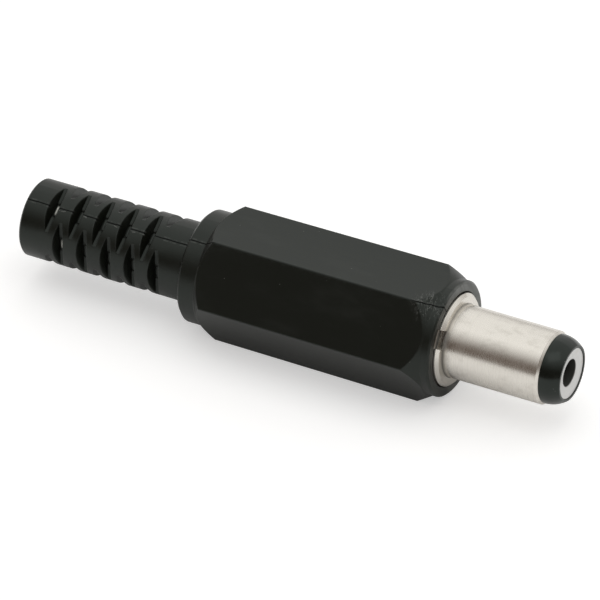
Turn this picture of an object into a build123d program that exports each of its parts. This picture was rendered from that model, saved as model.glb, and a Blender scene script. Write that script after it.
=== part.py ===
"""Cable-mount DC barrel plug with a screw-on hexagonal hood and a slotted strain relief.

The plug's axis is X and the tip points to +X. The origin is on the axis, at the front face of the
barrel's flange. The plug lies on one flat of its hexagon, so +Z is up.
"""
from build123d import *
import os

# Driving dimensions in millimetres, angles in degrees

# Fits between pieces
fit_gap = 0.02
thread_gap = 0.2
flange_gap = 0.1

# Barrel: sleeve, flange with spanner slots, threaded shank and the staked end
sleeve_d = 5.5
sleeve_length = 7.6
sleeve_bore_d = 4.4
sleeve_chamfer = 0.2
flange_d = 7.0
flange_thickness = 0.9
flange_chamfer = 0.22
spanner_slot_width = 1.4
spanner_slot_depth = 0.5
spanner_slot_angle = 147.0
shank_d = 6.1
shank_length = 4.5
shank_chamfer = 0.25
relief_depth = 0.2
relief_length = 0.5
shank_bore_d = 3.6
spigot_d = 4.4
stake_d = 4.8
stake_thickness = 0.3

# Black nose and the bush that lines the sleeve
nose_length = 1.45
nose_root_d = 5.18
nose_face_d = 4.2
nose_bulge = 0.11
nose_rim_thickness = 0.18
contact_recess = 0.06
tip_bush_length = 9.0
tip_bush_end_gap = 0.1

# Centre contact: drilled pin receiver with a flared face, spring slits and a riveted tail
contact_bore_d = 2.1
contact_wall = 0.25
flare_edge_thickness = 0.3
flare_dish = 0.16
contact_bore_depth = 10.2
slit_width = 0.3
slit_length = 5.0
slit_front_gap = 1.8
rivet_d = 1.5
rivet_head_d = 2.3
rivet_head_thickness = 0.3

# Rear insulator: shouldered bush
rear_shoulder_d = 4.6
rear_shoulder_thickness = 0.6
rear_bush_length = 2.4

# Outer terminal: staked ring, bent tail with a solder hole and a cable clamp
tag_thickness = 0.4
tag_ring_d = 6.0
tag_tail_width = 2.4
tag_tail_length = 8.4
tag_bend_r = 0.3
tag_hole_d = 1.2
tag_hole_from_ring = 3.6
clamp_length = 2.2
clamp_d = 5.9
clamp_sweep = 200.0

# Inner terminal: riveted eyelet and bent tail with a solder hole
lug_thickness = 0.35
lug_eyelet_d = 3.4
lug_tail_width = 1.8
lug_tail_length = 4.4
lug_bend_r = 0.3
lug_hole_d = 0.9
lug_hole_from_end = 1.0

# Hood: hexagonal grip
flange_proud = 0.35
hex_front_across_flats = 8.9
hex_rear_across_flats = 8.72
hex_flat_sink = 0.03
hex_edge_r = 0.12
grip_length = 19.1
mouth_d = 8.72
mouth_chamfer = 0.14
mouth_land = 0.64
front_chamfer_angle = 33.0
rear_chamfer_angle = 45.0

# Hood: collar and strain-relief boot
collar_d = 8.5
collar_length = 1.45
collar_chamfer = 0.2
boot_root_d = 5.96
boot_root_fillet = 0.4
boot_end_d = 5.84
boot_length = 13.8
boot_end_chamfer = 0.15
cable_bore_d = 4.6
cable_bore_flare = 0.12

# Hood: rings of slots round the boot, each slot cut down to a flat floor that just opens the bore
parting_angle = 120.0
ring_count = 10
ring_pitch = 0.99
ring_from_collar = 2.6
slots_per_ring = 3
slot_floor = 2.26
slot_floor_width = 0.24
slot_width = 0.92

# Hood: cavity for the terminals
cavity_length = 16.0
cavity_cone_angle = 30.0

# Places along the axis, worked out from the sizes above
tip_x = sleeve_length + nose_length
shank_front_x = -flange_thickness
shank_end_x = shank_front_x - shank_length
ring_end_x = shank_end_x - tag_thickness
stake_end_x = ring_end_x - stake_thickness
rear_face_x = stake_end_x - rear_shoulder_thickness
lug_end_x = rear_face_x - lug_thickness
flare_back_x = tip_x - contact_recess - flare_edge_thickness
mouth_x = -flange_proud
grip_end_x = mouth_x - grip_length
collar_end_x = grip_end_x - collar_length
boot_end_x = collar_end_x - boot_length
cavity_end_x = mouth_x - cavity_length

contact_r = contact_bore_d / 2 + contact_wall
contact_hole_r = contact_r + fit_gap
flare_r = nose_face_d / 2 - nose_rim_thickness - fit_gap
thread_bore_r = shank_d / 2 + thread_gap


def corner_round(before, corner, after, radius):
    """The arc at a corner of an outline, tangent to both of its sides."""
    back = (before - corner).normalized()
    onward = (after - corner).normalized()
    half = Vector(1, 0).rotate(Axis.Z, back.get_angle(onward) / 2)
    run = radius * half.X / half.Y
    return TangentArc(corner + back * run, corner + onward * run, tangent=-back)


def outline_face(points):
    """A closed face in the XZ plane. A point is (x, z), or (x, z, radius) where its corner is round."""
    corners = [Vector(x, 0, z) for x, z, *_ in points]
    ahead = corners[1:] + corners[:1]
    rounds = {}
    for index, (_, _, *radius) in enumerate(points):
        if radius:
            rounds[index] = corner_round(corners[index - 1], corners[index], ahead[index], radius[0])
    sides = list(rounds.values())
    for index, corner in enumerate(corners):
        following = (index + 1) % len(corners)
        start = rounds[index] @ 1 if index in rounds else corner
        finish = rounds[following] @ 0 if following in rounds else ahead[index]
        sides.append(Line(start, finish))
    return make_face(sides)


def turned(*points):
    """Revolve an outline of (x, radius) points about the plug's axis."""
    return revolve(outline_face(points), Axis.X)


def rod(x_from, x_to, radius):
    """A plain round bar between two places on the axis."""
    return turned((x_from, 0), (x_from, radius), (x_to, radius), (x_to, 0))


def facing(angle, solid):
    """Turn a solid that faces +Z so that it faces an angle measured from +Y towards +Z."""
    return Rot(X=angle - 90) * solid


def across(points, width):
    """Extrude an outline of (x, z) points evenly to both sides of the XZ plane."""
    return extrude(outline_face(points), width / 2, dir=(0, 1, 0), both=True)


def make_barrel():
    """Turned sleeve, slotted flange and shank, with the end staked over the outer terminal."""
    bore_r = sleeve_bore_d / 2
    bore_step_x = sleeve_length - tip_bush_length - tip_bush_end_gap
    relief_r = shank_d / 2 - relief_depth
    relief_end_x = shank_front_x - relief_length
    barrel = turned(
        (bore_step_x, shank_bore_d / 2), (bore_step_x, bore_r),
        (sleeve_length, bore_r), (sleeve_length, sleeve_d / 2 - sleeve_chamfer),
        (sleeve_length - sleeve_chamfer, sleeve_d / 2), (0, sleeve_d / 2),
        (0, flange_d / 2 - flange_chamfer), (-flange_chamfer, flange_d / 2),
        (shank_front_x, flange_d / 2), (shank_front_x, relief_r),
        (relief_end_x, relief_r), (relief_end_x, shank_d / 2),
        (shank_end_x + shank_chamfer, shank_d / 2), (shank_end_x, shank_d / 2 - shank_chamfer),
        (shank_end_x, spigot_d / 2), (ring_end_x, spigot_d / 2), (ring_end_x, stake_d / 2),
        (stake_end_x, stake_d / 2), (stake_end_x, shank_bore_d / 2),
    )
    slot_depth_z = flange_d / 2 - sleeve_d / 2
    for angle in (spanner_slot_angle, spanner_slot_angle + 180):
        slot = Pos(-spanner_slot_depth / 2, 0, sleeve_d / 2 + slot_depth_z) * Box(
            spanner_slot_depth, spanner_slot_width, 2 * slot_depth_z)
        barrel -= facing(angle, slot)
    return barrel


def make_tip_insulator():
    """Moulded nose and bush. The nose seats on the sleeve's end and holds the contact's flare."""
    bush_r = sleeve_bore_d / 2 - fit_gap
    bush_end_x = sleeve_length - tip_bush_length
    recess_r = flare_r + fit_gap
    root = (sleeve_length, nose_root_d / 2)
    face = (tip_x, nose_face_d / 2)
    middle = ((root[0] + face[0]) / 2 + nose_bulge, (root[1] + face[1]) / 2 + nose_bulge)
    outline = Polyline(
        face, (tip_x, recess_r), (flare_back_x, recess_r), (flare_back_x, contact_hole_r),
        (bush_end_x, contact_hole_r), (bush_end_x, bush_r), (sleeve_length, bush_r), root,
    ) + ThreePointArc(root, middle, face)
    return revolve(make_face(outline.rotate(Axis.X, 90)), Axis.X)


def make_centre_contact():
    """Pin receiver with a dished, flared face, two spring slits and a tail riveted to the lug."""
    bore_r = contact_bore_d / 2
    flare_front_x = tip_x - contact_recess
    bore_end_x = flare_front_x - contact_bore_depth
    head_end_x = lug_end_x - rivet_head_thickness
    contact = turned(
        (flare_front_x, flare_r), (flare_back_x, flare_r), (flare_back_x, contact_r),
        (rear_face_x + rear_shoulder_thickness, contact_r),
        (rear_face_x + rear_shoulder_thickness, rivet_d / 2), (lug_end_x, rivet_d / 2),
        (lug_end_x, rivet_head_d / 2), (head_end_x, rivet_d / 2), (head_end_x, 0),
        (bore_end_x, 0), (bore_end_x, bore_r), (flare_front_x - flare_dish, bore_r),
    )
    slit_x = flare_back_x - slit_front_gap - slit_length / 2
    slit = Pos(slit_x, 0, 0) * Box(slit_length, slit_width, 4 * contact_r)
    return contact - slit


def make_rear_insulator():
    """Shouldered bush that centres the contact's tail in the staked end of the barrel."""
    bush_r = shank_bore_d / 2 - fit_gap
    tail_hole_r = rivet_d / 2 + fit_gap
    bush_front_x = stake_end_x + rear_bush_length
    return turned(
        (bush_front_x, contact_hole_r), (bush_front_x, bush_r), (stake_end_x, bush_r),
        (stake_end_x, rear_shoulder_d / 2), (rear_face_x, rear_shoulder_d / 2),
        (rear_face_x, tail_hole_r), (stake_end_x, tail_hole_r), (stake_end_x, contact_hole_r),
    )


def bent_tail(fold_x, outer_z, thickness, width, length, bend_r):
    """A strip that leaves a ring at fold_x and turns back along the axis, facing +Z."""
    inner_x = fold_x - thickness
    inner_z = outer_z - thickness
    end_x = fold_x - length
    return across(
        [(fold_x, 0), (fold_x, outer_z, bend_r + thickness), (end_x, outer_z), (end_x, inner_z),
         (inner_x, inner_z, bend_r), (inner_x, 0)], width)


def make_sleeve_tag():
    """Stamped outer terminal: ring under the stake, tail with a solder hole, cable clamp wings."""
    hole_r = spigot_d / 2 + fit_gap
    ring = rod(ring_end_x, shank_end_x, tag_ring_d / 2) - rod(ring_end_x, shank_end_x, hole_r)
    clamp_r = clamp_d / 2
    tail = bent_tail(shank_end_x, clamp_r, tag_thickness, tag_tail_width, tag_tail_length, tag_bend_r)
    tail -= rod(ring_end_x, shank_end_x, hole_r)
    solder_hole = Pos(ring_end_x - tag_hole_from_ring, 0, clamp_r) * Cylinder(tag_hole_d / 2, 4 * tag_thickness)
    clamp_front_x = shank_end_x - tag_tail_length + clamp_length
    wings = rod(clamp_front_x - clamp_length, clamp_front_x, clamp_r)
    wings -= rod(clamp_front_x - clamp_length, clamp_front_x, clamp_r - tag_thickness)
    gap = Plane.YZ * make_face(
        Line((0, 0), (clamp_d, 0)) + CenterArc((0, 0), clamp_d, 0, 360 - clamp_sweep)
        + Line((0, 0), Vector(clamp_d, 0).rotate(Axis.Z, 360 - clamp_sweep)))
    gap = Rot(X=270 - (360 - clamp_sweep) / 2) * extrude(gap, clamp_length)
    wings -= Pos(clamp_front_x - clamp_length, 0, 0) * gap
    return Rot(X=180) * (ring + tail - solder_hole + wings)


def make_centre_tag():
    """Stamped inner terminal: eyelet under the rivet head and a tail with a solder hole."""
    eyelet_r = lug_eyelet_d / 2
    eyelet = rod(lug_end_x, rear_face_x, eyelet_r)
    tail = bent_tail(rear_face_x, eyelet_r, lug_thickness, lug_tail_width, lug_tail_length, lug_bend_r)
    solder_hole = Pos(rear_face_x - lug_tail_length + lug_hole_from_end, 0, eyelet_r) * Cylinder(
        lug_hole_d / 2, 4 * lug_thickness)
    return eyelet + tail - solder_hole - rod(lug_end_x, rear_face_x, rivet_d / 2 + fit_gap)


def slot_cutter():
    """A wedge across the boot, facing +Z: narrow at its flat floor and full width at the surface."""
    surface_r = (boot_root_d + boot_end_d) / 4
    top = boot_root_d
    half_floor = slot_floor_width / 2
    half_top = half_floor + (slot_width / 2 - half_floor) * (top - slot_floor) / (surface_r - slot_floor)
    return across(
        [(-half_floor, slot_floor), (half_floor, slot_floor), (half_top, top), (-half_top, top)], boot_root_d)


def boot_slots():
    """Rings of slots along the boot, every other ring turned so that its slots lie between the last ones."""
    cutter = slot_cutter()
    step = 360 / slots_per_ring
    cutters = []
    for ring in range(ring_count):
        ring_x = collar_end_x - ring_from_collar - ring * ring_pitch
        first_angle = parting_angle if ring % 2 else parting_angle + step / 2
        for index in range(slots_per_ring):
            cutters.append(Pos(ring_x, 0, 0) * facing(first_angle + index * step, cutter))
    return cutters


def hexagon_section(across_flats, x):
    """One section of the grip: a hexagon with faintly hollow flats and its edges broken."""
    plane = Plane(origin=(x, 0, 0), x_dir=(0, 1, 0), z_dir=(-1, 0, 0))
    flats = RegularPolygon(across_flats / 2, 6, major_radius=False).edges()
    hexagon = make_face([SagittaArc(flat @ 0, flat @ 1, hex_flat_sink) for flat in flats])
    return plane * fillet(hexagon.vertices(), hex_edge_r)


def make_grip():
    """Hexagon with a little draft, its corners turned away at the mouth and at the collar."""
    prism = loft(
        [hexagon_section(hex_front_across_flats, mouth_x), hexagon_section(hex_rear_across_flats, grip_end_x)],
        ruled=True)
    reach = hex_front_across_flats
    front_run = Vector(1, 0).rotate(Axis.Z, front_chamfer_angle)
    rear_run = Vector(1, 0).rotate(Axis.Z, rear_chamfer_angle)
    land_x = mouth_x - mouth_land
    envelope = turned(
        (mouth_x, 0), (mouth_x, mouth_d / 2 - mouth_chamfer), (mouth_x - mouth_chamfer, mouth_d / 2),
        (land_x, mouth_d / 2),
        (land_x - front_run.X / front_run.Y * reach, mouth_d / 2 + reach),
        (grip_end_x + rear_run.X / rear_run.Y * reach, collar_d / 2 + reach),
        (grip_end_x, collar_d / 2), (grip_end_x, 0),
    )
    return prism & envelope


def make_hood():
    """One moulding: hexagonal grip, collar and slotted boot, bored for the insert and the cable."""
    boot = turned(
        (grip_end_x, 0), (grip_end_x, collar_d / 2), (collar_end_x + collar_chamfer, collar_d / 2),
        (collar_end_x, collar_d / 2 - collar_chamfer), (collar_end_x, boot_root_d / 2, boot_root_fillet),
        (boot_end_x + boot_end_chamfer, boot_end_d / 2), (boot_end_x, boot_end_d / 2 - boot_end_chamfer),
        (boot_end_x, 0),
    )
    cable_r = cable_bore_d / 2
    cone = Vector(1, 0).rotate(Axis.Z, cavity_cone_angle)
    cone_end_x = cavity_end_x - cone.X / cone.Y * (thread_bore_r - cable_r)
    seat_r = flange_d / 2 + flange_gap
    bore = turned(
        (mouth_x, 0), (mouth_x, seat_r), (shank_front_x, seat_r), (shank_front_x, thread_bore_r),
        (cavity_end_x, thread_bore_r), (cone_end_x, cable_r), (boot_end_x + cable_bore_flare, cable_r),
        (boot_end_x, cable_r + cable_bore_flare), (boot_end_x, 0),
    )
    return make_grip() + boot.cut(*boot_slots()) - bore


pieces = {
    "hood": make_hood(),
    "barrel": make_barrel(),
    "tip_insulator": make_tip_insulator(),
    "centre_contact": make_centre_contact(),
    "rear_insulator": make_rear_insulator(),
    "sleeve_tag": make_sleeve_tag(),
    "centre_tag": make_centre_tag(),
}

os.makedirs("parts", exist_ok=True)
for name, piece in pieces.items():
    export_step(piece, f"parts/{name}.step")
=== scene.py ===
"""Dresses the DC barrel plug: finishes, threads, moulding flash, slot films and the studio."""

import logging
import math
from dataclasses import dataclass, field
from enum import Enum
from typing import Any

import bmesh
import bpy
from mathutils import Matrix, Vector
from mathutils.bvhtree import BVHTree

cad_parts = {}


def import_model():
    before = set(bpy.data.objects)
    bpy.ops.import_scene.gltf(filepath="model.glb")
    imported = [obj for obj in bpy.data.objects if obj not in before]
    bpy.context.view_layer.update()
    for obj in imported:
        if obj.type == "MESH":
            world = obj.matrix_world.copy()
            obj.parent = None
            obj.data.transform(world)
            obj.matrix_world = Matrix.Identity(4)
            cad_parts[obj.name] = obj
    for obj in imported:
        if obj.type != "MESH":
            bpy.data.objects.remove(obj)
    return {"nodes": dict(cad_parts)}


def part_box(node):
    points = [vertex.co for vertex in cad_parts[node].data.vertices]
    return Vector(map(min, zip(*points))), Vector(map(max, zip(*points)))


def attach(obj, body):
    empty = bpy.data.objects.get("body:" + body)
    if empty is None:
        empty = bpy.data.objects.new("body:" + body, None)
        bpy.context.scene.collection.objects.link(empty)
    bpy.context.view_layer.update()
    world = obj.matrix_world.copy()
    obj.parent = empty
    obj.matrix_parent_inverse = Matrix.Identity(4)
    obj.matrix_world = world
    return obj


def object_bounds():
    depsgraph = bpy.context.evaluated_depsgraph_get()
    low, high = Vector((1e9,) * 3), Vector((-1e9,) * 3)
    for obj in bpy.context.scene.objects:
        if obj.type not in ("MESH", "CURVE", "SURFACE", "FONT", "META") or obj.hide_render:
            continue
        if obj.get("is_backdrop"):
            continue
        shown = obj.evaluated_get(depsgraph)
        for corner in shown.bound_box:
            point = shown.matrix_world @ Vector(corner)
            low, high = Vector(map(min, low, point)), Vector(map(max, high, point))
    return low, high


MM = 0.001
WELD = 1e-7
PARTING_ANGLE = 120.0
BEVEL_SAMPLES = 6
THREAD_STEPS = 48
BEAD_SIDES = 6
FILM_STEPS = 9
LOG = logging.getLogger("barrel_plug")

Colour = tuple[float, float, float, float]


class Body(Enum):
    """The two moving bodies of the plug."""

    INSERT = "insert"
    HOOD = "hood"


class Slot(Enum):
    """The record's material slots for the hood and the barrel."""

    HOOD = "hood_black"
    BARREL = "nickel_barrel"


class Wire:
    """An output socket that takes part in Python arithmetic."""

    def __init__(self, sheet: "Sheet", socket: bpy.types.NodeSocket) -> None:
        """Keeps the socket and the sheet of nodes it belongs to."""
        self.sheet = sheet
        self.socket = socket

    def output(self, name: str) -> "Wire":
        """Gives another output of the same node."""
        return Wire(self.sheet, self.socket.node.outputs[name])

    def reckon(self, operation: str, *operands: "Wire | float") -> "Wire":
        """Adds one Math node.

        Args:
            operation: The Math node's operation.
            operands: Its inputs, in order.

        Returns:
            The node's result.
        """
        return self.sheet.add("ShaderNodeMath", {"operation": operation}, dict(enumerate(operands)))

    def __add__(self, other: "Wire | float") -> "Wire":
        """Gives self + other."""
        return self.reckon("ADD", self, other)

    __radd__ = __add__

    def __mul__(self, other: "Wire | float") -> "Wire":
        """Gives self * other."""
        return self.reckon("MULTIPLY", self, other)

    __rmul__ = __mul__

    def __sub__(self, other: "Wire | float") -> "Wire":
        """Gives self - other."""
        return self.reckon("SUBTRACT", self, other)

    def __rsub__(self, other: float) -> "Wire":
        """Gives other - self."""
        return self.reckon("SUBTRACT", other, self)

    def __truediv__(self, other: "Wire | float") -> "Wire":
        """Gives self / other."""
        return self.reckon("DIVIDE", self, other)

    def __rtruediv__(self, other: float) -> "Wire":
        """Gives other / self."""
        return self.reckon("DIVIDE", other, self)

    def __pow__(self, other: float) -> "Wire":
        """Gives self to the power of other."""
        return self.reckon("POWER", self, other)

    def __abs__(self) -> "Wire":
        """Gives the size of self without its sign."""
        return self.reckon("ABSOLUTE", self)

    def least(self, other: "Wire | float") -> "Wire":
        """Gives the smaller of two values."""
        return self.reckon("MINIMUM", self, other)

    def most(self, other: "Wire | float") -> "Wire":
        """Gives the larger of two values."""
        return self.reckon("MAXIMUM", self, other)

    def fade(self, start: float, end: float, low: float = 0.0, high: float = 1.0) -> "Wire":
        """Goes smoothly from one value to another.

        Args:
            start: Where the change begins.
            end: Where the change ends; it may be below start.
            low: The value up to start.
            high: The value from end on.

        Returns:
            The changing value.
        """
        sockets = {"Value": self, "From Min": start, "From Max": end, "To Min": low, "To Max": high}
        return self.sheet.add("ShaderNodeMapRange", {"interpolation_type": "SMOOTHSTEP"}, sockets)


class Sheet:
    """One tree of nodes, for a material, the world or a modifier."""

    def __init__(self, tree: bpy.types.NodeTree) -> None:
        """Takes the tree and clears it."""
        self.tree = tree
        tree.nodes.clear()

    def add(self, kind: str, settings: dict[str, Any] | None = None,
            sockets: dict[int | str, Any] | None = None) -> Wire:
        """Adds a node of any type.

        Args:
            kind: The node's type.
            settings: Properties of the node, set before its sockets.
            sockets: Wires or plain values by socket index or name.

        Returns:
            The node's first active output, or its first input's wire where it has none.
        """
        node = self.tree.nodes.new(kind)
        for name, value in (settings or {}).items():
            setattr(node, name, value)
        active = [socket for socket in node.inputs if socket.enabled]
        for key, feed in (sockets or {}).items():
            if isinstance(key, int):
                socket = active[key]
            else:
                socket = next(each for each in active if each.name == key)
            if isinstance(feed, Wire):
                self.tree.links.new(feed.socket, socket)
            else:
                socket.default_value = feed
        outputs = [socket for socket in node.outputs if socket.enabled]
        return Wire(self, outputs[0] if outputs else node.inputs[0])

    def mix(self, factor: Wire, first: Any, second: Any) -> Wire:
        """Mixes two colours, which may be wires or RGBA values."""
        return self.add("ShaderNodeMix", {"data_type": "RGBA"}, {0: factor, 1: first, 2: second})

    def places(self) -> tuple[Wire, Wire, Wire]:
        """Reads where the surface point is.

        Returns:
            Its places along the plug's three axes, in millimetres.
        """
        object_place = self.add("ShaderNodeTexCoord").output("Object")
        axes = self.add("ShaderNodeSeparateXYZ", None, {0: object_place})
        return axes.output("X") / MM, axes.output("Y") / MM, axes.output("Z") / MM

    def vector(self, x: Wire | float, y: Wire | float, z: Wire | float) -> Wire:
        """Joins three values into a vector."""
        return self.add("ShaderNodeCombineXYZ", None, {0: x, 1: y, 2: z})

    @staticmethod
    def radius(y: Wire, z: Wire) -> Wire:
        """Gives the distance from the plug's axis."""
        return (y * y + z * z) ** 0.5

    def dot(self, first: Any, second: Any) -> Wire:
        """Gives the dot product of two vectors."""
        settings = {"operation": "DOT_PRODUCT"}
        return self.add("ShaderNodeVectorMath", settings, {0: first, 1: second}).output("Value")

    def eased(self, edge: float) -> Wire:
        """Gives the normal with sharp edges broken to a radius in millimetres."""
        return self.add("ShaderNodeBevel", {"samples": BEVEL_SAMPLES}, {"Radius": edge * MM})

    def noise(self, place: Wire, scale: float, detail: float = 2.0, roughness: float = 0.5) -> Wire:
        """Gives a noise value from 0 to 1.

        Args:
            place: Where it is read, as a vector.
            scale: Cells in each unit of the vector.
            detail: Octaves of finer noise.
            roughness: How strong the finer octaves are.

        Returns:
            The noise value.
        """
        sockets = {"Vector": place, "Scale": scale, "Detail": detail, "Roughness": roughness}
        return self.add("ShaderNodeTexNoise", None, sockets)

    def bump(self, height: Wire, depth: float, edge: float = 0.0) -> Wire:
        """Turns a height into a normal.

        Args:
            height: The height, in units of the depth.
            depth: What a height of 1 stands for, in millimetres.
            edge: Radius to which the piece's sharp edges look broken, in millimetres.

        Returns:
            The normal.
        """
        sockets = {"Height": height, "Strength": 1.0, "Distance": depth * MM}
        if edge:
            sockets["Normal"] = self.eased(edge)
        return self.add("ShaderNodeBump", None, sockets)


def grey(level: float) -> Colour:
    """Gives a neutral colour."""
    return level, level, level, 1.0


@dataclass(frozen=True)
class Finish:
    """A surface finish that makes one material."""

    name: str
    colour: Colour
    roughness: float

    def surface(self, sheet: Sheet) -> Wire:
        """Builds the shader, which each kind of finish does in its own way."""
        raise NotImplementedError

    def material(self) -> bpy.types.Material:
        """Makes the material.

        Returns:
            A new material with this finish.
        """
        material = bpy.data.materials.new(self.name)
        material.use_nodes = True
        sheet = Sheet(material.node_tree)
        sheet.add("ShaderNodeOutputMaterial", None, {"Surface": self.surface(sheet)})
        material.diffuse_color = self.colour
        return material


@dataclass(frozen=True)
class TurnedMetal(Finish):
    """Plated metal with the fine rings of the lathe and a few dull patches."""

    line_density: float = 9.0
    line_depth: float = 0.0008
    line_roughness: float = 0.16
    face_line_stretch: float = 1.7
    broad_density: float = 1.1
    broad_roughness: float = 0.08
    patch_density: float = 1.3
    patch_stretch: float = 0.6
    dull_colour: Colour = (0.5, 0.47, 0.42, 1.0)
    dull_share: float = 0.35
    dull_line_share: float = 0.25
    darkening_colour: Colour = (0.03, 0.032, 0.027, 1.0)
    darkening_roughness: float = 0.3
    edge: float = 0.04

    def darkening(self, x: Wire, radius: Wire, z: Wire) -> Wire:
        """Gives how much a place is darkened, which differs from one turned piece to the next."""
        raise NotImplementedError

    def surface(self, sheet: Sheet) -> Wire:
        """Builds rings round the plug's axis, on its cylinders and on its end faces.

        Args:
            sheet: The material's nodes.

        Returns:
            The shader.
        """
        x, y, z = sheet.places()
        radius = sheet.radius(y, z)
        lines = sheet.vector(x, radius * self.face_line_stretch, 0.0)
        rings = sheet.noise(lines, self.line_density, 4.0, 0.65)
        broad = sheet.noise(sheet.vector(x, radius, 0.0), self.broad_density, 1.0)
        blotches = sheet.vector(x * self.patch_stretch, y, z)
        patches = sheet.noise(blotches, self.patch_density, 3.0, 0.6)
        dull = (patches.fade(0.5, 0.75, 0.0, self.dull_share)
                + rings.fade(0.52, 0.75, 0.0, self.dull_line_share))
        plated = sheet.mix(dull.least(1.0), self.colour, self.dull_colour)
        # On the barrel this darkening is painted shade; on the contact it darkens the deep bore.
        darkening = self.darkening(x, radius, z)
        return sheet.add("ShaderNodeBsdfPrincipled", None, {
            "Base Color": sheet.mix(darkening, plated, self.darkening_colour),
            "Metallic": 1.0 - darkening,
            "Roughness": (self.roughness + (rings - 0.5) * self.line_roughness
                          + (broad - 0.5) * self.broad_roughness + darkening * self.darkening_roughness),
            "Normal": sheet.bump(rings, self.line_depth, self.edge),
        })


@dataclass(frozen=True)
class BarrelMetal(TurnedMetal):
    """The barrel's plating, with painted shade at the sleeve's root, in the notches and on the
    flange's face, darker towards its bottom.
    """

    sleeve_radius: float = 2.75
    sleeve_reach: float = 0.34
    flange_reach: float = 0.1
    corner_share: float = 0.42
    low_corner_share: float = 0.68
    notch_x: float = -0.5
    notch_unshaded_radius: float = 3.25
    notch_shaded_radius: float = 2.95
    notch_share: float = 0.85
    low_share: float = 0.24

    def darkening(self, x: Wire, radius: Wire, z: Wire) -> Wire:
        """Gives the painted shade on the barrel.

        Args:
            x: Place along the axis, in millimetres.
            radius: Distance from the axis, in millimetres.
            z: Height above the axis, in millimetres.

        Returns:
            The share of painted shade.
        """
        corner = self.sleeve_radius + 0.01
        # Painted shade in the corner at the sleeve's root, heavier on the lower side.
        thick = z.fade(2.2, 0.8, self.corner_share, self.low_corner_share)
        on_sleeve = x.fade(self.sleeve_reach, 0.0) * radius.fade(corner + 0.02, corner)
        on_flange = radius.fade(corner + self.flange_reach, corner) * abs(x).fade(0.05, 0.02)
        at_root = on_sleeve.most(on_flange) * thick * x.fade(-0.05, -0.02)
        # Painted shade on the notch's floor, darkest near the sleeve.
        in_notch = abs(x - self.notch_x).fade(0.06, 0.03) * radius.fade(
            self.notch_unshaded_radius, self.notch_shaded_radius, 0.0, self.notch_share)
        # Painted shade on the flange's face, darker towards the bottom.
        on_face = radius.fade(corner, corner + 0.1) * x.fade(-0.4, -0.3)
        low_down = z.fade(1.2, -0.3, 0.0, self.low_share) * on_face
        return at_root.most(in_notch).most(low_down)


@dataclass(frozen=True)
class ContactMetal(TurnedMetal):
    """The contact's matt plating, darker inside its deep bore."""

    bore_radius: float = 1.05
    mouth_x: float = 8.83
    bore_dark_share: float = 0.97

    def darkening(self, x: Wire, radius: Wire, z: Wire) -> Wire:
        """Gives the darkness of the bore.

        Args:
            x: Place along the axis, in millimetres.
            radius: Distance from the axis, in millimetres.
            z: Height above the axis, which makes no difference in the bore.

        Returns:
            The share of darkening.
        """
        inside = radius.fade(self.bore_radius + 0.06, self.bore_radius + 0.02)
        return inside * x.fade(self.mouth_x + 0.02, self.mouth_x - 0.1, 0.0, self.bore_dark_share)


@dataclass(frozen=True)
class StampedMetal(Finish):
    """Tinned sheet with a rolled grain along its length."""

    grain_density: float = 14.0
    grain_stretch: float = 0.15
    grain_depth: float = 0.003
    cloud_density: float = 0.9
    cloud_colour: Colour = (0.52, 0.5, 0.46, 1.0)

    def surface(self, sheet: Sheet) -> Wire:
        """Builds the rolled grain and a cloudy tin.

        Args:
            sheet: The material's nodes.

        Returns:
            The shader.
        """
        x, y, z = sheet.places()
        rolled = sheet.vector(x * self.grain_stretch, y, z)
        grain = sheet.noise(rolled, self.grain_density, 3.0, 0.6)
        cloud = sheet.noise(sheet.vector(x, y, z), self.cloud_density, 2.0)
        return sheet.add("ShaderNodeBsdfPrincipled", None, {
            "Base Color": sheet.mix(cloud.fade(0.4, 0.7), self.colour, self.cloud_colour),
            "Metallic": 1.0,
            "Roughness": self.roughness + (grain - 0.5) * 0.2 + (cloud - 0.5) * 0.15,
            "Normal": sheet.bump(grain, self.grain_depth),
        })


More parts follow.
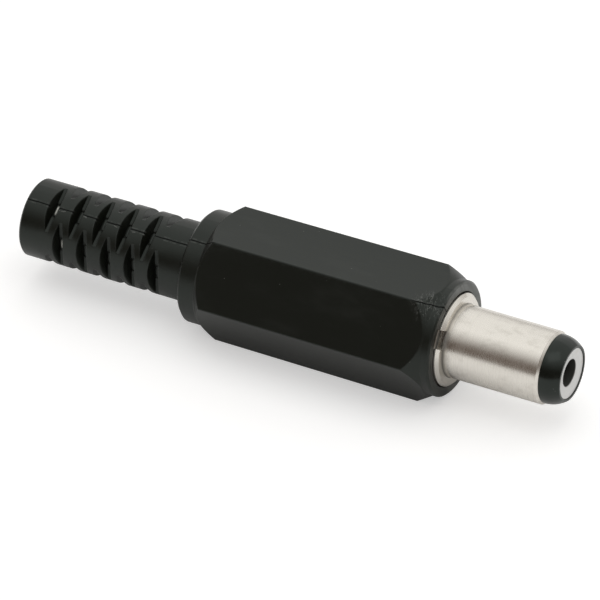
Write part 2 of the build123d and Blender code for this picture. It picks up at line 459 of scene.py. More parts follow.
@dataclass(frozen=True)
class MouldedPlastic(Finish):
    """Black moulded plastic with a fine skin grain and faint handling marks."""

    grain_density: float = 7.0
    grain_depth: float = 0.002
    grain_roughness: float = 0.06
    smear_density: float = 0.55
    smear_stretch: float = 0.4
    smear_roughness: float = 0.08
    worn_share: float = 0.5
    lighter_colour: Colour = (0.016, 0.017, 0.0155, 1.0)
    dust_colour: Colour = (0.35, 0.36, 0.34, 1.0)
    dust_density: float = 6.5
    dust_least: float = 0.77
    gloss: float = 0.42
    gloss_tint: Colour = (0.89, 1.0, 0.93, 1.0)
    edge: float = 0.06

    def grain(self, sheet: Sheet, place: Wire) -> Wire:
        """Gives the fine grain of the skin, from 0 to 1."""
        return sheet.noise(place, self.grain_density, 3.0, 0.55)

    def smear(self, sheet: Sheet, x: Wire, y: Wire, z: Wire) -> Wire:
        """Gives the broad marks of handling, from 0 to 1."""
        place = sheet.vector(x * self.smear_stretch, y, z)
        return sheet.noise(place, self.smear_density, 3.0, 0.6)

    def dust(self, sheet: Sheet, place: Wire) -> Wire:
        """Gives a few specks of dust, from 0 to 1."""
        specks = sheet.noise(place, self.dust_density, 1.0, 0.4)
        return specks.fade(self.dust_least, self.dust_least + 0.03)

    def dullness(self, grain: Wire, smear: Wire) -> Wire:
        """Gives the roughness of the skin, uneven with its grain and marks."""
        return (self.roughness + (smear - 0.5) * self.smear_roughness
                + (grain - 0.5) * self.grain_roughness)

    def plastic(self, sheet: Sheet, colour: Wire, roughness: Wire, normal: Wire) -> Wire:
        """Builds the plastic's shader.

        Args:
            sheet: The material's nodes.
            colour: The colour over the surface.
            roughness: The roughness over the surface.
            normal: The bumped normal.

        Returns:
            The shader.
        """
        return sheet.add("ShaderNodeBsdfPrincipled", None, {
            "Base Color": colour,
            "Roughness": roughness,
            "Specular IOR Level": self.gloss,
            "Specular Tint": self.gloss_tint,
            "Normal": normal,
        })

    def surface(self, sheet: Sheet) -> Wire:
        """Builds the skin over the whole piece.

        Args:
            sheet: The material's nodes.

        Returns:
            The shader.
        """
        x, y, z = sheet.places()
        place = sheet.vector(x, y, z)
        grain = self.grain(sheet, place)
        smear = self.smear(sheet, x, y, z)
        lightening = smear.fade(0.5, 0.8, 0.0, self.worn_share)
        lightened = sheet.mix(lightening, self.colour, self.lighter_colour)
        return self.plastic(
            sheet, sheet.mix(self.dust(sheet, place), lightened, self.dust_colour),
            self.dullness(grain, smear), sheet.bump(grain, self.grain_depth, self.edge))


@dataclass(frozen=True)
class HoodPlastic(MouldedPlastic):
    """The hood's satin plastic, with painted shade in its parting line, painted highlights on its
    edges, on the joint of grip and collar and on the ring round the mouth, and scuffs near the
    mouth.
    """

    smear_roughness: float = 0.06
    worn_share: float = 0.12
    parting_angle: float = PARTING_ANGLE
    groove_half_width: float = 0.055
    groove_shade_colour: Colour = grey(0.006)
    groove_shade_roughness: float = 0.8
    lip_width: float = 0.13
    slot_depth: float = 0.2
    boot_radius: float = 2.9
    grip_front: float = -2.2
    grip_rear: float = -18.9
    grip_fade: float = 0.6
    closed_share: float = 0.85
    mouth_drift: float = 0.27
    seam_x: float = -19.45
    root_x: float = -20.9
    rim_x: float = -0.42
    scuff_and_highlight_colour: Colour = (0.11, 0.112, 0.107, 1.0)
    scuff_x: float = -1.3
    scuff_angle: float = 117.0
    scuff_reach: float = 1.7
    scuff_roughness: float = 0.2
    polish_roughness: float = 0.22
    lip_share: float = 0.8
    edge_highlight_share: float = 0.35
    seam_highlight_share: float = 0.7

    def on_grip(self, x: Wire) -> Wire:
        """Gives 1 along the grip, where the parting line is all but closed, and 0 elsewhere."""
        behind_front = x.fade(self.grip_front, self.grip_front - self.grip_fade)
        return behind_front * x.fade(self.grip_rear, self.grip_rear + self.grip_fade)

    def parting(self, sheet: Sheet, x: Wire, y: Wire, z: Wire) -> tuple[Wire, Wire]:
        """Lays the mould's parting line, which wanders and drifts aside towards the mouth.

        Args:
            sheet: The material's nodes.
            x: Place along the axis, in millimetres.
            y: Place to the side, in millimetres.
            z: Height above the axis, in millimetres.

        Returns:
            The groove itself, and the raised lips beside it.
        """
        turn = math.radians(self.parting_angle)
        wander = sheet.noise(sheet.vector(x, y, z), 1.6, 2.0) - 0.5
        drift = (x - self.grip_front).most(0.0) * self.mouth_drift
        straight = y * math.sin(turn) - z * math.cos(turn)
        aside = abs(straight - drift + wander * (0.08 + drift * 0.5))
        groove = aside.fade(self.groove_half_width, self.groove_half_width * 0.4)
        patches = sheet.noise(sheet.vector(x, y * 0.2, z * 0.2), 2.2, 3.0, 0.6)
        lip = abs(aside - self.lip_width).fade(self.lip_width * 0.6, 0.0) * patches.fade(0.42, 0.62)
        opened = 1.0 - self.on_grip(x) * self.closed_share
        return groove * opened, lip * opened

    def scratches(self, sheet: Sheet, x: Wire, y: Wire, z: Wire) -> tuple[Wire, Wire]:
        """Scratches the chamfer beside the parting line.

        Args:
            sheet: The material's nodes.
            x: Place along the axis, in millimetres.
            y: Place to the side, in millimetres.
            z: Height above the axis, in millimetres.

        Returns:
            How near the scuffed place is, and the noise whose level lines are the strokes.
        """
        turn = math.radians(self.scuff_angle)
        across = y * math.sin(turn) - z * math.cos(turn)
        ahead = y * math.cos(turn) + z * math.sin(turn)
        away = ((x - self.scuff_x) ** 2.0 + across * across) ** 0.5
        near = away.fade(self.scuff_reach, self.scuff_reach * 0.3) * ahead.fade(0.0, 1.0)
        strokes = sheet.vector(x * 3.2 + across * 0.9, across * 0.9 - x * 0.3, ahead * 0.4)
        return near, sheet.noise(strokes, 2.0, 1.0)

    def sharpness(self, sheet: Sheet) -> Wire:
        """Gives 1 on the piece's edges and 0 on its faces."""
        straight = sheet.add("ShaderNodeNewGeometry").output("Normal")
        return sheet.dot(straight, sheet.eased(self.edge)).fade(0.985, 0.9)

    def surface(self, sheet: Sheet) -> Wire:
        """Builds the skin, then lays painted shade into the parting groove over it.

        Args:
            sheet: The material's nodes.

        Returns:
            The shader.
        """
        x, y, z = sheet.places()
        place = sheet.vector(x, y, z)
        grain = self.grain(sheet, place)
        smear = self.smear(sheet, x, y, z)
        outside = sheet.radius(y, z).fade(self.boot_radius - self.slot_depth, self.boot_radius)
        groove, lip = (mark * outside for mark in self.parting(sheet, x, y, z))
        near, bite = self.scratches(sheet, x, y, z)
        broken = sheet.noise(place, 1.8, 1.0).fade(0.42, 0.55)
        scuff = near * abs(bite - 0.5).fade(0.035, 0.005) * broken
        # Painted highlight: the edges off the grip are lightened.
        edges = self.sharpness(sheet) * broken.most(0.35) * outside * (1.0 - self.on_grip(x))
        # Painted highlight along the lower half of the joint between grip and collar.
        seam_highlight = abs(x - self.seam_x).fade(0.1, 0.03) * z.fade(0.5, -1.0) * outside
        past_root = x.fade(self.root_x + 0.04, self.root_x)
        polish = x.fade(self.root_x - 0.5, self.root_x - 0.35) * past_root
        # Painted highlight, patchy, on the front of the mouth's ring away from the -Y side.
        rim_highlight = x.fade(self.rim_x - 0.12, self.rim_x + 0.02) * y.fade(-1.7, -0.5)

        # Handling wear and the raised lips lighten the skin, and so do the painted highlights on
        # the edges and on the joint of grip and collar.
        lightening = (smear.fade(0.5, 0.8, 0.0, self.worn_share) + lip * self.lip_share
                + edges * self.edge_highlight_share + seam_highlight * self.seam_highlight_share)
        lightened = sheet.mix(lightening.least(1.0), self.colour, self.lighter_colour)
        # The scuffs are real marks; the ring round the mouth takes a painted highlight in the same
        # colour.
        scuffs_and_rim_highlight = rim_highlight * bite.fade(0.3, 0.6, 0.6, 1.0) + scuff
        scuffed_and_highlit = sheet.mix(scuffs_and_rim_highlight.least(1.0), lightened, self.scuff_and_highlight_colour)
        relief = grain + scuff * 2.0 + lip - groove * 3.0
        skin = self.plastic(
            sheet, sheet.mix(self.dust(sheet, place), scuffed_and_highlit, self.dust_colour),
            self.dullness(grain, smear) + scuff * self.scuff_roughness
            - polish * self.polish_roughness,
            sheet.bump(relief, self.grain_depth, self.edge))
        # Painted shade: a dull black with no gloss, laid into the parting groove.
        shade = sheet.add("ShaderNodeBsdfPrincipled", None, {
            "Base Color": self.groove_shade_colour,
            "Roughness": self.groove_shade_roughness,
            "Specular IOR Level": 0.0,
        })
        return sheet.add("ShaderNodeMixShader", None, {0: groove, 1: skin, 2: shade})


@dataclass(frozen=True)
class FilmPlastic(MouldedPlastic):
    """The thin film left on the slots' floors, with painted light in a streak in the last two rings
    of slots.
    """

    painted_light_colour: Colour = (0.62, 0.62, 0.57, 1.0)
    painted_light_places: tuple[float, float] = (-32.35, -31.36)
    painted_light_half_width: float = 0.09
    inner_radius: float = 2.27
    outer_radius: float = 2.288

    def surface(self, sheet: Sheet) -> Wire:
        """Builds the film, with its streaks of painted light in the last two rings of slots.

        Args:
            sheet: The material's nodes.

        Returns:
            The shader.
        """
        x, y, z = sheet.places()
        first, second = self.painted_light_places
        aside = abs(x - first).least(abs(x - second))
        streak = aside.fade(self.painted_light_half_width, self.painted_light_half_width * 0.3)
        radius = sheet.radius(y, z)
        sideways = y / radius
        # The cosine of three times the angle is 1 or -1 in the middle of each slot.
        threefold = 4.0 * sideways ** 3.0 - 3.0 * sideways
        amid_slot = abs(threefold).fade(0.86, 0.97)
        on_top = radius.fade(self.inner_radius, self.outer_radius)
        uneven = sheet.noise(sheet.vector(x, y, z), 3.0, 2.0)
        # Painted light: a light streak on the film's outer side, in the middle of the slots.
        painted_light = streak * amid_slot * on_top * uneven.fade(0.2, 0.45)
        return self.plastic(
            sheet, sheet.mix(painted_light, self.colour, self.painted_light_colour),
            self.roughness + (uneven - 0.5) * 0.1, sheet.bump(uneven, self.grain_depth))


@dataclass(frozen=True)
class Paper(Finish):
    """The studio's white paper, which stays white to the eye and keeps the plug's shadow."""

    lift: float = 0.46
    mirrored_lift: float = 0.28
    contact_reach: float = 6.0
    contact_samples: int = 8
    fibre_density: float = 0.4
    fibre_depth: float = 0.02

    def surface(self, sheet: Sheet) -> Wire:
        """Builds matt paper, lifted to white where the eye or a mirror sees it.

        Args:
            sheet: The material's nodes.

        Returns:
            The shader.
        """
        fibre = sheet.noise(sheet.vector(*sheet.places()), self.fibre_density, 3.0)
        paper = sheet.add("ShaderNodeBsdfPrincipled", None, {
            "Base Color": self.colour,
            "Roughness": self.roughness,
            "Specular IOR Level": 0.0,
            "Normal": sheet.bump(fibre, self.fibre_depth),
        })
        ray = sheet.add("ShaderNodeLightPath")
        direct = ray.output("Is Camera Ray").most(ray.output("Is Transmission Ray"))
        open_sky = sheet.add("ShaderNodeAmbientOcclusion", {"samples": self.contact_samples}, {
            "Distance": self.contact_reach * MM}).output("AO")
        # In mirrors the lift fades near the plug, where the floor is hidden from the sky: a painted
        # contact shadow.
        lift = direct * self.lift + ray.output("Is Glossy Ray") * open_sky * self.mirrored_lift
        glow = sheet.add("ShaderNodeEmission", None, {"Color": lift, "Strength": 1.0})
        return sheet.add("ShaderNodeAddShader", None, {0: paper, 1: glow})


class Recipe:
    """A Geometry Nodes tree with named inputs."""

    def __init__(self, name: str, inputs: dict[str, str]) -> None:
        """Makes the tree and its interface.

        Args:
            name: The tree's name.
            inputs: Socket type of each named input, after the geometry.
        """
        self.tree = bpy.data.node_groups.new(name, "GeometryNodeTree")
        self.sheet = Sheet(self.tree)
        face = self.tree.interface
        face.new_socket("Geometry", in_out="INPUT", socket_type="NodeSocketGeometry")
        self.keys = {label: face.new_socket(label, in_out="INPUT", socket_type=kind).identifier
                     for label, kind in inputs.items()}
        face.new_socket("Geometry", in_out="OUTPUT", socket_type="NodeSocketGeometry")
        self.entry = self.sheet.add("NodeGroupInput")

    def close(self, geometry: Wire) -> None:
        """Ends the tree in real geometry with the material set.

        Args:
            geometry: What the tree has made, with any instances.
        """
        whole = self.sheet.add("GeometryNodeRealizeInstances", None, {"Geometry": geometry})
        dressed = self.sheet.add("GeometryNodeSetMaterial", None, {
            "Geometry": whole, "Material": self.entry.output("Material")})
        self.sheet.add("NodeGroupOutput", None, {"Geometry": dressed})

    def make(self, name: str, base: bpy.types.Mesh, values: dict[str, Any]) -> bpy.types.Object:
        """Runs the tree once and keeps its result as a plain mesh.

        Args:
            name: The new piece's name.
            base: The mesh that the tree starts from.
            values: A value for each named input.

        Returns:
            The new piece, with no modifier.
        """
        carrier = bpy.data.objects.new(name + "_carrier", base)
        bpy.context.scene.collection.objects.link(carrier)
        modifier = carrier.modifiers.new("recipe", "NODES")
        modifier.node_group = self.tree
        for label, value in values.items():
            modifier[self.keys[label]] = value
        graph = bpy.context.evaluated_depsgraph_get()
        mesh = bpy.data.meshes.new_from_object(carrier.evaluated_get(graph), depsgraph=graph)
        carrier.modifiers.remove(modifier)
        bpy.data.objects.remove(carrier)
        shape = bmesh.new()
        shape.from_mesh(mesh)
        bmesh.ops.remove_doubles(shape, verts=shape.verts, dist=WELD)
        bmesh.ops.recalc_face_normals(shape, faces=shape.faces)
        shape.to_mesh(mesh)
        shape.free()
        mesh.name = name
        piece = bpy.data.objects.new(name, mesh)
        bpy.context.scene.collection.objects.link(piece)
        return piece


def thread_recipe() -> Recipe:
    """Makes the tree for a screw thread: a ridge wound on a core, fading out at both ends.

    Returns:
        The tree, with its sizes in metres as inputs.
    """
    lengths = ("Start", "Pitch", "Core Radius", "Base Width", "Crest Width", "Depth")
    inputs = {label: "NodeSocketFloat" for label in lengths + ("Turns", "Fade Turns", "Facing")}
    recipe = Recipe("screw_thread", inputs | {"Material": "NodeSocketMaterial"})
    sheet, entry = recipe.sheet, recipe.entry
    turns, pitch = entry.output("Turns"), entry.output("Pitch")
    core = entry.output("Core Radius")
    helix = sheet.add("GeometryNodeCurveSpiral", None, {
        "Resolution": THREAD_STEPS, "Rotations": turns, "Start Radius": core, "End Radius": core,
        "Height": turns * pitch, "Reverse": True})
    upright = sheet.add("GeometryNodeSetCurveNormal", {"mode": "Z_UP"}, {"Curve": helix})
    along = sheet.add("GeometryNodeSplineParameter") * turns
    fade_turns = entry.output("Fade Turns")
    fade = (along / fade_turns).least((turns - along) / fade_turns).least(1.0)
    ridge = sheet.add("GeometryNodeCurvePrimitiveQuadrilateral", {"mode": "TRAPEZOID"}, {
        "Bottom Width": entry.output("Base Width"), "Top Width": entry.output("Crest Width"),
        "Height": entry.output("Depth"), "Offset": 0.0})
    turned = sheet.add("GeometryNodeTransform", None, {
        "Geometry": ridge, "Rotation": sheet.vector(0.0, 0.0, entry.output("Facing"))})
    wound = sheet.add("GeometryNodeCurveToMesh", None, {
        "Curve": upright, "Profile Curve": turned, "Scale": fade, "Fill Caps": True})
    laid = sheet.add("GeometryNodeTransform", None, {
        "Geometry": wound, "Translation": sheet.vector(entry.output("Start"), 0.0, 0.0),
        "Rotation": (0, math.pi / 2, 0)})
    recipe.close(laid)
    return recipe


def flash_recipe() -> Recipe:
    """Makes the tree for moulding flash: a thin uneven bead along drawn lines.

    Returns:
        The tree, with the bead's radius in metres and a seed as inputs.
    """
    recipe = Recipe("mould_flash", {
        "Thin": "NodeSocketFloat", "Thick": "NodeSocketFloat", "Waviness": "NodeSocketFloat",
        "Seed": "NodeSocketFloat", "Material": "NodeSocketMaterial"})
    sheet, entry = recipe.sheet, recipe.entry
    line = sheet.add("GeometryNodeMeshToCurve", None, {"Mesh": entry.output("Geometry")})
    uneven = sheet.add("ShaderNodeTexNoise", {"noise_dimensions": "4D"}, {
        "Vector": sheet.add("GeometryNodeInputPosition"), "W": entry.output("Seed"),
        "Scale": entry.output("Waviness"), "Detail": 2.0})
    thin, thick = entry.output("Thin"), entry.output("Thick")
    width = thin + (thick - thin) * uneven.fade(0.44, 0.66)
    bead = sheet.add("GeometryNodeCurvePrimitiveCircle", None, {
        "Resolution": BEAD_SIDES, "Radius": 1.0})
    swept = sheet.add("GeometryNodeCurveToMesh", None, {
        "Curve": line, "Profile Curve": bead, "Scale": width, "Fill Caps": True})
    recipe.close(swept)
    return recipe


def film_recipe() -> Recipe:
    """Makes the tree for the films on the slots' floors: bent patches, every other ring turned.

    Returns:
        The tree, with its sizes in metres and its angles in radians as inputs.
    """
    sizes = ("Start", "Ring Pitch", "Radius", "Thickness", "Width", "Half Angle", "First Angle",
             "Slots Per Ring")
    recipe = Recipe("slot_film", {label: "NodeSocketFloat" for label in sizes} | {
        "Count": "NodeSocketInt", "Material": "NodeSocketMaterial"})
    sheet, entry = recipe.sheet, recipe.entry
    slots, half_angle = entry.output("Slots Per Ring"), entry.output("Half Angle")
    bend = sheet.add("GeometryNodeCurveArc", None, {
        "Resolution": FILM_STEPS, "Radius": entry.output("Radius"), "Start Angle": 0.0 - half_angle,
        "Sweep Angle": half_angle * 2.0})
    upright = sheet.add("GeometryNodeSetCurveNormal", {"mode": "Z_UP"}, {"Curve": bend})
    section = sheet.add("GeometryNodeCurvePrimitiveQuadrilateral", {"mode": "RECTANGLE"}, {
        "Width": entry.output("Thickness"), "Height": entry.output("Width")})
    patch = sheet.add("GeometryNodeCurveToMesh", None, {
        "Curve": upright, "Profile Curve": section, "Fill Caps": True})
    facing = sheet.add("GeometryNodeTransform", None, {
        "Geometry": patch, "Rotation": (math.pi / 2, 0, math.pi / 2)})
    index = sheet.add("GeometryNodeInputIndex")
    ring = index.reckon("FLOOR", (index + 0.5) / slots)
    turned = index.reckon("MODULO", ring + 1.0, 2.0) * 0.5
    angle = entry.output("First Angle") + (index - ring * slots + turned) * math.tau / slots
    along = entry.output("Start") - ring * entry.output("Ring Pitch")
    row = sheet.add("GeometryNodeMeshLine", None, {
        "Count": entry.output("Count"), "Offset": (0, 0, 0)})
    spread = sheet.add("GeometryNodeSetPosition", None, {
        "Geometry": row, "Position": sheet.vector(along, 0.0, 0.0)})
    copies = sheet.add("GeometryNodeInstanceOnPoints", None, {
        "Points": spread, "Instance": facing, "Rotation": sheet.vector(angle, 0.0, 0.0)})
    recipe.close(copies)
    return recipe


@dataclass(frozen=True)
class Thread:
    """The sizes of one screw thread, in millimetres."""

    start: float
    end: float
    wall_radius: float
    depth: float
    inward: bool = False
    pitch: float = 0.5
    sink: float = 0.02
    base_share: float = 0.86
    crest_share: float = 0.14
    fade_turns: float = 0.6

    def values(self, material: bpy.types.Material) -> dict[str, Any]:
        """Gives the inputs of the thread's tree.

        Args:
            material: The finish of the wall that carries the thread.

        Returns:
            A value for each named input, with lengths in metres.
        """
        middle = (self.depth - self.sink) / 2
        return {
            "Start": self.start * MM,
            "Pitch": self.pitch * MM,
            "Turns": (self.end - self.start) / self.pitch,
            "Fade Turns": self.fade_turns,
            "Core Radius": (self.wall_radius + (-middle if self.inward else middle)) * MM,
            "Base Width": self.pitch * self.base_share * MM,
            "Crest Width": self.pitch * self.crest_share * MM,
            "Depth": (self.depth + self.sink) * MM,
            "Facing": -math.pi / 2 if self.inward else math.pi / 2,
            "Material": material,
        }


@dataclass
class Insert:
    """The metal insert with its insulators: barrel, nose, contact, bush and terminals."""

    nodes: dict[str, bpy.types.Object]
    thread: Thread = Thread(start=-5.15, end=-1.4, wall_radius=3.05, depth=0.1)
    barrel: Finish = BarrelMetal("nickel_turned", (0.76, 0.728, 0.67, 1.0), 0.27)
    contact: Finish = ContactMetal("nickel_contact_matt", (0.66, 0.66, 0.65, 1.0), 0.42, 6.0, 0.001)
    nose: Finish = MouldedPlastic("nose_gloss", (0.004, 0.0052, 0.0038, 1.0), 0.2, 5.0, 0.0008)
    bush: Finish = MouldedPlastic("bush_smooth", (0.006, 0.0065, 0.0058, 1.0), 0.3, 6.0, 0.001)
    tag: Finish = StampedMetal("tag_tinned", (0.72, 0.71, 0.69, 1.0), 0.34)

    def dress(self) -> None:
        """Gives each solid its finish."""
        finishes = {
            "barrel": self.barrel, "centre_contact": self.contact, "tip_insulator": self.nose,
            "rear_insulator": self.bush, "sleeve_tag": self.tag, "centre_tag": self.tag,
        }
        made: dict[str, bpy.types.Material] = {}
        for node, finish in finishes.items():
            if finish.name not in made:
                made[finish.name] = finish.material()
            cover(self.nodes[node], made[finish.name])
            LOG.info("%s dressed in %s", node, finish.name)

    def build_thread(self, recipe: Recipe) -> bpy.types.Object:
        """Winds the fine thread on the shank.

        Args:
            recipe: The thread's tree.

        Returns:
            The thread, riding on the insert.
        """
        values = self.thread.values(self.nodes["barrel"].data.materials[0])
        shank_thread = recipe.make("shank_thread", bpy.data.meshes.new("shank_thread_base"), values)
        return ridden(shank_thread, Body.INSERT)


@dataclass
class Hood:
    """The moulded hood: grip, collar and slotted boot."""

    node: bpy.types.Object
    parting_angle: float = PARTING_ANGLE
    trace_step: float = 0.06
    trace_jump: float = 3.0
    feel_reach: float = 8.0
    flash_thin: float = 0.004
    flash_thick: float = 0.075
    flash_sink: float = 0.03
    flash_aside: float = 0.15
    boot_skin: float = 2.85
    flash_front: float = -24.2
    flash_rear: float = -32.2
    flash_wander: float = 0.4
    flash_waves: float = 5.3
    flash_waviness: float = 2000.0
    flash_seed: float = 3.0
    flash: Finish = MouldedPlastic(
        "flash_pale", (0.08, 0.082, 0.077, 1.0), 0.42, lighter_colour=(0.15, 0.152, 0.145, 1.0),
        dust_least=0.9)
    thread: Thread = Thread(start=-5.6, end=-1.0, wall_radius=3.25, depth=0.075, inward=True)
    finish: Finish = HoodPlastic(
        "hood_satin", (0.0026, 0.0028, 0.0013, 1.0), 0.36, lighter_colour=(0.055, 0.057, 0.053, 1.0),
        edge=0.12, dust_least=0.83)
    ring_count: int = 10
    ring_pitch: float = 0.99
    ring_start: float = -23.5
    slots_per_ring: int = 3
    film_radius: float = 2.28
    film_thickness: float = 0.035
    film_width: float = 0.44
    film_half_angle: float = 14.0
    film: Finish = FilmPlastic("slot_film_thin", (0.004, 0.0043, 0.003, 1.0), 0.4)
    tree: BVHTree = field(init=False)

    def __post_init__(self) -> None:
        """Makes the hood's surface ready to be felt for."""
        self.tree = BVHTree.FromObject(self.node, bpy.context.evaluated_depsgraph_get())

    def dress(self) -> None:
        """Gives the hood its finish."""
        cover(self.node, self.finish.material())
        LOG.info("hood dressed in %s", self.finish.name)

    def skin(self, x: float, angle: float) -> float | None:
        """Feels for the outside surface.

        Args:
            x: Place along the axis, in millimetres.
            angle: Direction round the axis, in degrees from +Y towards +Z.

        Returns:
            The surface's radius in millimetres, or None where there is none.
        """
        turn = math.radians(angle)
        out = Vector((0.0, math.cos(turn), math.sin(turn)))
        reach = self.feel_reach * MM
        start = Vector((x * MM, 0.0, 0.0)) + out * reach
        hit = self.tree.ray_cast(start, -out, reach)
        return None if hit[0] is None else hit[0].dot(out) / MM

    def parting_lines(self) -> bpy.types.Mesh:
        """Traces the parting line on both sides of the hood, leaving out the slots.

        Returns:
            A mesh of lines on the surface.
        """
        low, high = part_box("hood")
        count = int((high.x - low.x) / MM / self.trace_step)
        points: list[Vector] = []
        edges: list[tuple[int, int]] = []
        for angle in (self.parting_angle, self.parting_angle + 180):
            last = None
            for index in range(1, count):
                x = low.x / MM + index * self.trace_step
                radius = self.skin(x, angle)
                on_boot = self.flash_rear < x < self.flash_front
                if radius is None or radius < self.boot_skin or not on_boot:
                    last = None
                    continue
                aside = self.flash_aside * (1 + self.flash_wander * math.sin(self.flash_waves * x))
                turn = math.radians(angle) + aside / radius
                sunk = radius - self.flash_sink
                points.append(Vector((x, sunk * math.cos(turn), sunk * math.sin(turn))) * MM)
                if last is not None and abs(radius - last) < self.trace_jump * self.trace_step:
                    edges.append((len(points) - 2, len(points) - 1))
                last = radius
        mesh = bpy.data.meshes.new("parting_lines")
        mesh.from_pydata(points, edges, [])
        return mesh

    def build_flash(self, recipe: Recipe) -> bpy.types.Object:
        """Lays the thin flash along the parting lines.

        Args:
            recipe: The flash's tree.

        Returns:
            The flash, riding on the hood.
        """
        flash = recipe.make("parting_flash", self.parting_lines(), {
            "Thin": self.flash_thin * MM,
            "Thick": self.flash_thick * MM,
            "Waviness": self.flash_waviness,
            "Seed": self.flash_seed,
            "Material": self.flash.material(),
        })
        return ridden(flash, Body.HOOD)

    def build_film(self, recipe: Recipe) -> bpy.types.Object:
        """Closes the floors of the slots, where they just open the bore, with a thin film.

        Args:
            recipe: The film's tree.

        Returns:
            The films, riding on the hood.
        """
        films = recipe.make("slot_film", bpy.data.meshes.new("slot_film_base"), {
            "Start": self.ring_start * MM,
            "Ring Pitch": self.ring_pitch * MM,
            "Radius": self.film_radius * MM,
            "Thickness": self.film_thickness * MM,
            "Width": self.film_width * MM,
            "Half Angle": math.radians(self.film_half_angle),
            "First Angle": math.radians(self.parting_angle),
            "Slots Per Ring": float(self.slots_per_ring),
            "Count": self.ring_count * self.slots_per_ring,
            "Material": self.film.material(),
        })
        return ridden(films, Body.HOOD)

    def build_thread(self, recipe: Recipe) -> bpy.types.Object:
        """Winds the fine thread in the mouth's bore.

        Args:
            recipe: The thread's tree.

        Returns:
            The thread, riding on the hood.
        """
        values = self.thread.values(self.node.data.materials[0])
        mouth_thread = recipe.make("mouth_thread", bpy.data.meshes.new("mouth_thread_base"), values)
        return ridden(mouth_thread, Body.HOOD)


def cover(piece: bpy.types.Object, material: bpy.types.Material) -> None:
    """Puts one material on all of a piece.

    Args:
        piece: The piece.
        material: Its only material.
    """
    for slot in piece.material_slots:
        slot.material = material
    if not piece.material_slots:
        piece.data.materials.append(material)


def ridden(piece: bpy.types.Object, body: Body) -> bpy.types.Object:
    """Fixes a new piece to its body.

    Args:
        piece: The new piece.
        body: The body that carries it.

    Returns:
        The same piece.
    """
    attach(piece, body.value)
    LOG.info("%s made with %d faces, on %s", piece.name, len(piece.data.polygons), body.value)
    return piece


@dataclass(frozen=True)
class Viewpoint:
    """The photograph's camera, in degrees, millimetres and pixels of a square frame."""

    azimuth: float = 28.326
    elevation: float = 35.732
    roll: float = -1.062
    distance: float = 700.0
    focal_px: float = 9732.122
    origin_px: tuple[float, float] = (459.385, 340.527)
    frame_px: float = 600.0
    sensor: float = 36.0
    clip_m: tuple[float, float] = (0.01, 20.0)

    def place(self) -> bpy.types.Object:
        """Sets the camera up.

        Returns:
            The camera.
        """
        azimuth, elevation, roll = map(math.radians, (self.azimuth, self.elevation, self.roll))
        level_share = math.cos(elevation)
        back = Vector((math.sin(azimuth) * level_share, -math.cos(azimuth) * level_share,
                       math.sin(elevation)))
        level = Vector((0, 0, 1)).cross(back).normalized()
        upright = back.cross(level)
        right = math.cos(roll) * level + math.sin(roll) * upright
        up = math.cos(roll) * upright - math.sin(roll) * level
        per_px = self.distance / self.focal_px
        middle = self.frame_px / 2
        spot = (right * (middle - self.origin_px[0]) + up * (self.origin_px[1] - middle)) * per_px
        spot += back * self.distance
        lens = bpy.data.cameras.new("photo_camera")
        lens.sensor_width = self.sensor
        lens.lens = self.focal_px * self.sensor / self.frame_px
        lens.clip_start, lens.clip_end = self.clip_m
        camera = bpy.data.objects.new("photo_camera", lens)
        turn = Matrix((right, up, back)).transposed().to_4x4()
        camera.matrix_world = Matrix.Translation(spot * MM) @ turn
        bpy.context.scene.collection.objects.link(camera)
        bpy.context.scene.camera = camera
        return camera


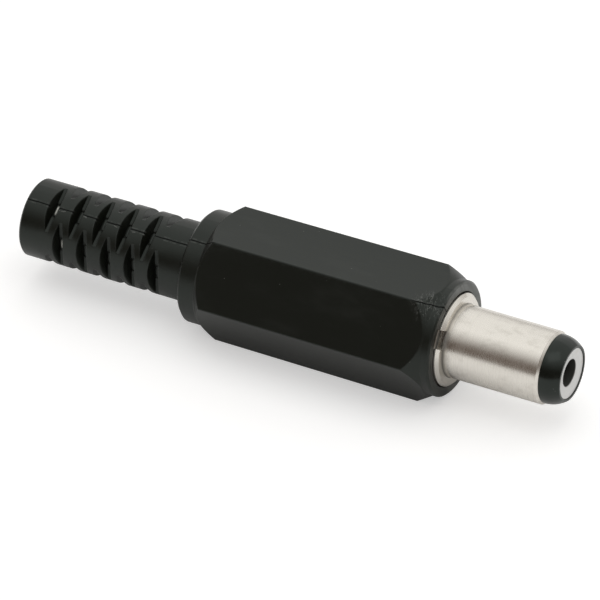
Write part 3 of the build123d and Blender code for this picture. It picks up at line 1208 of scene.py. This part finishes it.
@dataclass
class Studio:
    """White paper, a soft dome that is dim on the camera's side, and one softbox."""

    floor_height: float
    paper: Finish = Paper("studio_paper", grey(0.76), 0.9)
    reach: float = 3.0
    bright_side: tuple[float, float, float] = (0.0, 0.35, 0.937)
    dusk: float = 0.0
    noon: float = 0.8
    bright: Colour = (1.0, 0.995, 0.98, 1.0)
    dim: Colour = (0.14, 0.111, 0.094, 1.0)
    box_watts: float = 0.25
    box_size: tuple[float, float] = (0.5, 0.35)
    box_place: tuple[float, float, float] = (0.1, -0.15, 0.6)

    def build_floor(self) -> bpy.types.Object:
        """Lays the paper under the plug.

        Returns:
            The floor, marked as stage.
        """
        shape = bmesh.new()
        bmesh.ops.create_grid(shape, x_segments=8, y_segments=8, size=self.reach,
                              matrix=Matrix.Translation((0, 0, self.floor_height)))
        mesh = bpy.data.meshes.new("studio_floor")
        shape.to_mesh(mesh)
        shape.free()
        floor = bpy.data.objects.new("studio_floor", mesh)
        bpy.context.scene.collection.objects.link(floor)
        cover(floor, self.paper.material())
        floor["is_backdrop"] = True
        return floor

    def light_dome(self) -> None:
        """Lights the world from above and behind, dim towards the camera."""
        world = bpy.data.worlds.new("studio_dome")
        bpy.context.scene.world = world
        world.use_nodes = True
        sheet = Sheet(world.node_tree)
        heading = sheet.add("ShaderNodeTexCoord").output("Generated")
        facing = sheet.dot(heading, self.bright_side)
        colour = sheet.mix(facing.fade(self.dusk, self.noon), self.dim, self.bright)
        light = sheet.add("ShaderNodeBackground", None, {"Color": colour, "Strength": 1.0})
        sheet.add("ShaderNodeOutputWorld", None, {"Surface": light})

    def light_box(self) -> None:
        """Hangs the softbox above the plug."""
        lamp = bpy.data.lights.new("softbox", "AREA")
        lamp.shape = "RECTANGLE"
        lamp.size, lamp.size_y = self.box_size
        lamp.energy = self.box_watts
        box = bpy.data.objects.new("softbox", lamp)
        place = Vector(self.box_place)
        turn = place.to_track_quat("Z", "Y").to_matrix().to_4x4()
        box.matrix_world = Matrix.Translation(place) @ turn
        bpy.context.scene.collection.objects.link(box)


def main() -> None:
    """Builds and dresses the plug, then the studio and the camera."""
    logging.basicConfig(level=logging.INFO, format="%(name)s: %(message)s")
    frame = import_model()
    cad_box = tuple(Vector(corner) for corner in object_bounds())
    nodes = frame["nodes"]

    screw_thread = thread_recipe()
    insert = Insert(nodes)
    insert.dress()
    insert.build_thread(screw_thread)

    hood = Hood(nodes["hood"])
    hood.dress()
    hood.build_thread(screw_thread)
    hood.build_flash(flash_recipe())
    hood.build_film(film_recipe())

    studio = Studio(cad_box[0].z)
    studio.build_floor()
    studio.light_dome()
    studio.light_box()
    Viewpoint().place()
    bpy.context.scene.view_settings.view_transform = "Standard"


if __name__ == "__main__":
    main()
